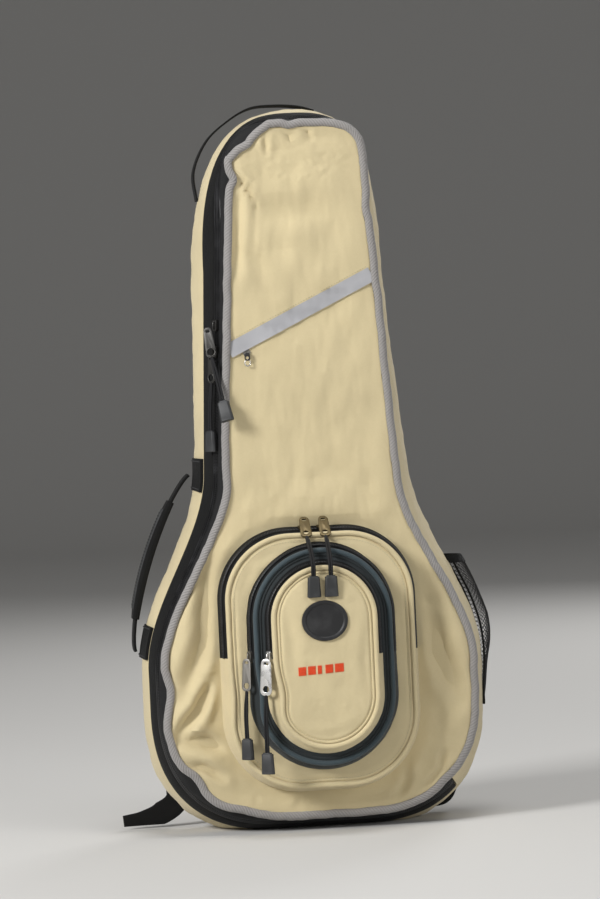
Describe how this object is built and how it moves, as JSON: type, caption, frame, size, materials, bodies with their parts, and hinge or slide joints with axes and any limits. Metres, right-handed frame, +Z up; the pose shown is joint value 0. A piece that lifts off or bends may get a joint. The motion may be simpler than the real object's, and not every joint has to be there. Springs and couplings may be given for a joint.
{
  "type": "mandolin gig bag",
  "caption": "Padded soft bag for a mandolin: hinged zip lid, stacked zip pockets on the front, side handle, mesh side pocket and backpack straps",
  "frame": {"origin": "middle of the flat base that the bag stands on", "axes": "+Z runs up the bag from its bout to its head, the front with the pockets faces -Y, and +X is to the right of someone who looks at the front"},
  "size_m": [0.4017, 0.1925, 0.7674],
  "materials": {
    "tan_nylon": "fine woven nylon, matt",
    "slate_nylon": "fine woven nylon, matt",
    "black_webbing": "woven webbing and tape",
    "black_coil": "coil zipper on woven tape",
    "grey_piping": "ribbed corded piping",
    "reflective_tape": "retroreflective grey cloth",
    "foam": "closed-cell foam",
    "lining": "brushed lining",
    "black_mesh": "open elastic net",
    "black_rubber": "moulded, satin",
    "grey_tip": "moulded grip on a thin cord",
    "black_plastic": "moulded acetal",
    "dark_nickel": "dark nickel plate",
    "bright_nickel": "bright nickel plate",
    "antique_brass": "antique brass"
  },
  "bodies": {
    "shell": {"back_panel": "tan_nylon", "back_foam": "foam", "back_lining": "lining", "back_piping": "grey_piping", "rear_gusset": "tan_nylon", "rear_gusset_foam": "foam", "rear_zip_band": "black_webbing", "rear_zip_coil": "black_coil", "hinge_gusset_rear": "tan_nylon", "handle_anchor_upper": "black_webbing", "handle_anchor_lower": "black_webbing", "mesh_pocket": "black_mesh", "mesh_pocket_binding": "black_webbing", "strap_yoke": "tan_nylon", "neck_cradle": "foam", "strap_webbing_left": "black_webbing", "strap_webbing_right": "black_webbing"},
    "neck_strap": {"neck_strap": "black_webbing"},
    "side_handle": {"side_handle_grip": "black_webbing"},
    "hang_loop": {"hang_loop": "black_webbing"},
    "strap_left": {"strap_pad_left": "black_webbing"},
    "strap_right": {"strap_pad_right": "black_webbing"},
    "ladder_lock_left": {"ladder_lock_left": "black_plastic"},
    "ladder_lock_right": {"ladder_lock_right": "black_plastic"},
    "lid": {"front_panel": "tan_nylon", "front_foam": "foam", "front_lining": "lining", "front_piping": "grey_piping", "front_gusset": "black_webbing", "front_zip_coil": "black_coil", "hinge_gusset_front": "tan_nylon", "reflective_flap": "reflective_tape", "large_pocket_zip_band": "black_coil", "large_pocket_lower_gusset": "tan_nylon"},
    "document_slider": {"document_slider": "dark_nickel"},
    "document_pull": {"document_pull": "black_rubber"},
    "main_slider_upper": {"main_slider_upper": "dark_nickel"},
    "main_tab_upper": {"main_tab_upper": "dark_nickel", "main_cord_upper": "grey_tip"},
    "main_slider_lower": {"main_slider_lower": "dark_nickel"},
    "main_tab_lower": {"main_tab_lower": "dark_nickel", "main_cord_lower": "grey_tip"},
    "large_pocket": {"large_pocket_panel": "tan_nylon", "middle_pocket_zip_band": "black_coil", "middle_pocket_lower_gusset": "slate_nylon"},
    "middle_pocket": {"middle_pocket_panel": "slate_nylon", "small_pocket_zip_band": "black_coil", "small_pocket_lower_gusset": "tan_nylon"},
    "small_pocket": {"small_pocket_panel": "tan_nylon", "badge": "black_rubber"},
    "large_slider_left": {"large_slider_left": "antique_brass"},
    "large_cord_left": {"large_cord_left": "grey_tip"},
    "large_slider_right": {"large_slider_right": "antique_brass"},
    "large_cord_right": {"large_cord_right": "grey_tip"},
    "middle_slider": {"middle_slider": "dark_nickel"},
    "middle_tab": {"middle_tab": "dark_nickel", "middle_cord": "grey_tip"},
    "small_slider": {"small_slider": "bright_nickel"},
    "small_tab": {"small_tab": "bright_nickel", "small_cord": "grey_tip"}
  },
  "joints": [
    {"name": "lid_open", "type": "hinge", "parent": "shell", "child": "lid", "pos_m": [0.1842, -0.036, 0.12], "axis": [-0.1781, 0, 0.984], "range_deg": [0, 110]},
    {"name": "main_slider_upper_travel", "type": "slide", "parent": "lid", "child": "main_slider_upper", "axis": [0.0558, 0, 0.9984], "range_m": [0, 0.06]},
    {"name": "main_tab_upper_swing", "type": "hinge", "parent": "main_slider_upper", "child": "main_tab_upper", "pos_m": [-0.09567, -0.03896, 0.53172], "axis": [0, 1, 0], "range_deg": [0, 100]},
    {"name": "main_slider_lower_travel", "type": "slide", "parent": "lid", "child": "main_slider_lower", "axis": [0.0558, 0, 0.9984], "range_m": [-0.05, 0]},
    {"name": "main_tab_lower_swing", "type": "hinge", "parent": "main_slider_lower", "child": "main_tab_lower", "pos_m": [-0.09723, -0.03896, 0.50372], "axis": [0, 1, 0], "range_deg": [0, 100]},
    {"name": "document_slider_travel", "type": "slide", "parent": "lid", "child": "document_slider", "axis": [0.901, 0, 0.4337], "range_m": [0, 0.12]},
    {"name": "document_pull_swing", "type": "hinge", "parent": "document_slider", "child": "document_pull", "pos_m": [-0.0612, -0.0567, 0.5039], "axis": [-1, 0, 0], "range_deg": [0, 100]},
    {"name": "large_pocket_open", "type": "hinge", "parent": "lid", "child": "large_pocket", "pos_m": [0, -0.07, 0.0415], "axis": [1, 0, 0], "range_deg": [0, 15]},
    {"name": "middle_pocket_open", "type": "hinge", "parent": "large_pocket", "child": "middle_pocket", "pos_m": [0, -0.0945, 0.066], "axis": [1, 0, 0], "range_deg": [0, 15], "deforming": ["large_cord_left", "large_cord_right"]},
    {"name": "small_pocket_open", "type": "hinge", "parent": "middle_pocket", "child": "small_pocket", "pos_m": [0, -0.11132, 0.0845], "axis": [1, 0, 0], "range_deg": [0, 15], "deforming": ["large_cord_left", "large_cord_right"]},
    {"name": "large_slider_left_travel", "type": "slide", "parent": "large_pocket", "child": "large_slider_left", "axis": [-1, 0, 0], "range_m": [0, 0.03]},
    {"name": "large_cord_left_swing", "type": "hinge", "parent": "large_slider_left", "child": "large_cord_left", "pos_m": [-0.011, -0.06252, 0.32229], "axis": [-1, 0, 0], "range_deg": [0, 100]},
    {"name": "large_slider_right_travel", "type": "slide", "parent": "large_pocket", "child": "large_slider_right", "axis": [1, 0, 0], "range_m": [0, 0.03]},
    {"name": "large_cord_right_swing", "type": "hinge", "parent": "large_slider_right", "child": "large_cord_right", "pos_m": [0.009, -0.06252, 0.32229], "axis": [-1, 0, 0], "range_deg": [0, 100]},
    {"name": "middle_slider_travel", "type": "slide", "parent": "large_pocket", "child": "middle_slider", "axis": [0, 0, 1], "range_m": [0, 0.03]},
    {"name": "middle_tab_swing", "type": "hinge", "parent": "middle_slider", "child": "middle_tab", "pos_m": [-0.08014, -0.0915, 0.1867], "axis": [-0.5167, 0.8562, 0], "range_deg": [0, 90]},
    {"name": "small_slider_travel", "type": "slide", "parent": "middle_pocket", "child": "small_slider", "axis": [0, 0, 1], "range_m": [0, 0.03]},
    {"name": "small_tab_swing", "type": "hinge", "parent": "small_slider", "child": "small_tab", "pos_m": [-0.06204, -0.11088, 0.1867], "axis": [-0.6529, 0.7574, 0], "range_deg": [0, 90]},
    {"name": "side_handle_swing", "type": "hinge", "parent": "shell", "child": "side_handle", "pos_m": [-0.1483, 0.029, 0.283], "axis": [0.3162, 0, 0.9487], "range_deg": [-30, 30]},
    {"name": "hang_loop_swing", "type": "hinge", "parent": "shell", "child": "hang_loop", "pos_m": [-0.0555, 0.032, 0.716], "axis": [0.6715, 0, 0.741], "range_deg": [-20, 8]},
    {"name": "strap_left_swing", "type": "hinge", "parent": "shell", "child": "strap_left", "pos_m": [-0.034, 0.0618, 0.592], "axis": [1, 0, 0], "range_deg": [0, 8], "deforming": ["strap_webbing_left"]},
    {"name": "strap_right_swing", "type": "hinge", "parent": "shell", "child": "strap_right", "pos_m": [0.034, 0.0618, 0.592], "axis": [1, 0, 0], "range_deg": [0, 8], "deforming": ["strap_webbing_right"]},
    {"name": "ladder_lock_left_tilt", "type": "hinge", "parent": "shell", "child": "ladder_lock_left", "pos_m": [-0.142, 0.0613, 0.055], "axis": [1, 0, 0], "range_deg": [0, 35], "deforming": ["strap_webbing_left"]},
    {"name": "ladder_lock_right_tilt", "type": "hinge", "parent": "shell", "child": "ladder_lock_right", "pos_m": [0.142, 0.0613, 0.055], "axis": [1, 0, 0], "range_deg": [0, 35], "deforming": ["strap_webbing_right"]},
    {"name": "neck_strap_release", "type": "hinge", "parent": "shell", "child": "neck_strap", "pos_m": [0.05, 0.0004, 0.435], "axis": [0, -1, 0], "range_deg": [0, 80]}
  ]
}
